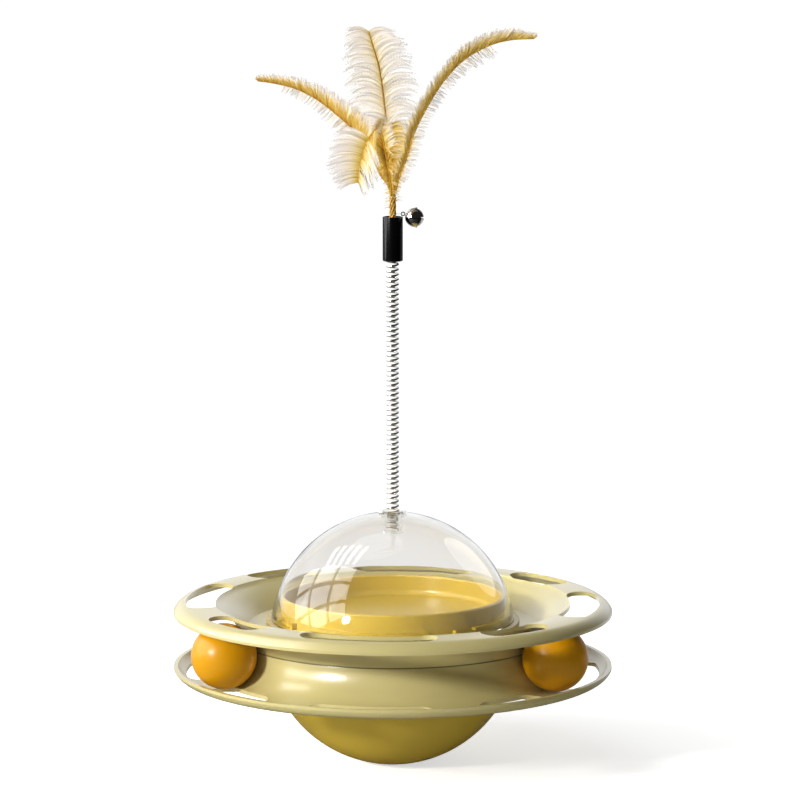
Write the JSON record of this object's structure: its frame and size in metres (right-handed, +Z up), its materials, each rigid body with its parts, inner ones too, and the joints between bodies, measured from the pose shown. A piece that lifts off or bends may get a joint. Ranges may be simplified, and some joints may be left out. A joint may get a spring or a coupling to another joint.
{
  "type": "rotating feather cat toy",
  "caption": "Self-righting cat toy: weighted round foot, slotted ball track with rolling balls, treat tray under a clear dome, spring wand with feathers and a bell.",
  "frame": {"origin": "centre of the foot's flat, on the surface that the toy stands on", "axes": "+Z up along the wand at rest, the view of the picture along +Y, +X to its right"},
  "size_m": [0.25, 0.2502, 0.42],
  "materials": {
    "shell": "satin moulded olive plastic",
    "track": "glossy moulded khaki plastic",
    "iron": "raw casting",
    "plate": "stamped steel",
    "screw": "zinc-plated steel",
    "ball": "glossy yellow plastic",
    "tray": "satin yellow plastic",
    "clear": "clear moulded plastic",
    "spring": "bright spring steel",
    "sleeve": "glossy black tube",
    "plug": "plain moulded plug",
    "quill": "gold quill",
    "feather": "soft dyed feather, gold at the shaft and cream at the tips",
    "bell": "polished nickel",
    "line": "clear nylon line"
  },
  "bodies": {
    "hub": {"base_shell": "shell", "counterweight": "iron", "weight_plate": "plate", "weight_screws": "screw", "lower_track_ring": "track", "upper_track_ring": "track", "hub_screws": "screw"},
    "left_ball": {"ball_left": "ball"},
    "right_ball": {"ball_right": "ball"},
    "back_ball": {"ball_back": "ball"},
    "tray": {"treat_tray": "tray"},
    "cover": {"dome": "clear"},
    "wand_foot": {"spring_socket": "clear"},
    "wand": {"feather_spring": "spring"},
    "head": {"sleeve": "sleeve", "quill_plug": "plug", "quill_bundle": "quill", "tall_feather": "feather", "left_feather": "feather", "right_feather": "feather", "front_feather": "feather", "short_feather": "feather", "bell_line": "line"},
    "bell": {"bell_eye_half": "bell", "bell_slot_half": "bell", "bell_clapper": "bell", "bell_eye": "bell"}
  },
  "joints": [
    {"name": "left_ball_roll", "type": "hinge", "parent": "hub", "child": "left_ball", "pos_m": [0, 0, 0.0715], "axis": [0, 0, 1], "range_deg": [-96, 96]},
    {"name": "right_ball_roll", "type": "hinge", "parent": "hub", "child": "right_ball", "pos_m": [0, 0, 0.0715], "axis": [0, 0, 1], "range_deg": [-96, 96]},
    {"name": "back_ball_roll", "type": "hinge", "parent": "hub", "child": "back_ball", "pos_m": [0, 0, 0.0715], "axis": [0, 0, 1], "range_deg": [-96, 96]},
    {"name": "tray_lift", "type": "slide", "parent": "hub", "child": "tray", "axis": [0, 0, 1], "range_m": [0, 0.1]},
    {"name": "dome_turn", "type": "hinge", "parent": "tray", "child": "cover", "pos_m": [0, 0, 0.0825], "axis": [0, 0, 1], "range_deg": [0, 25]},
    {"name": "wand_pull", "type": "slide", "parent": "cover", "child": "wand_foot", "axis": [0, 0, 1], "range_m": [0, 0.03]},
    {"name": "wand_sway_low", "type": "hinge", "parent": "wand_foot", "child": "wand", "pos_m": [0, 0, 0.18042], "axis": [1, 0, 0], "range_deg": [-60, 60], "stiffness_Nm_per_rad": 0.06, "deforming": ["feather_spring"]},
    {"name": "wand_sway_high", "type": "hinge", "parent": "wand", "child": "head", "pos_m": [0, 0, 0.25175], "axis": [0, 1, 0], "range_deg": [-60, 60], "stiffness_Nm_per_rad": 0.06, "deforming": ["feather_spring"]},
    {"name": "bell_swing", "type": "hinge", "parent": "head", "child": "bell", "pos_m": [0.00581, 0, 0.31411], "axis": [0, 1, 0], "range_deg": [-60, 7]}
  ]
}
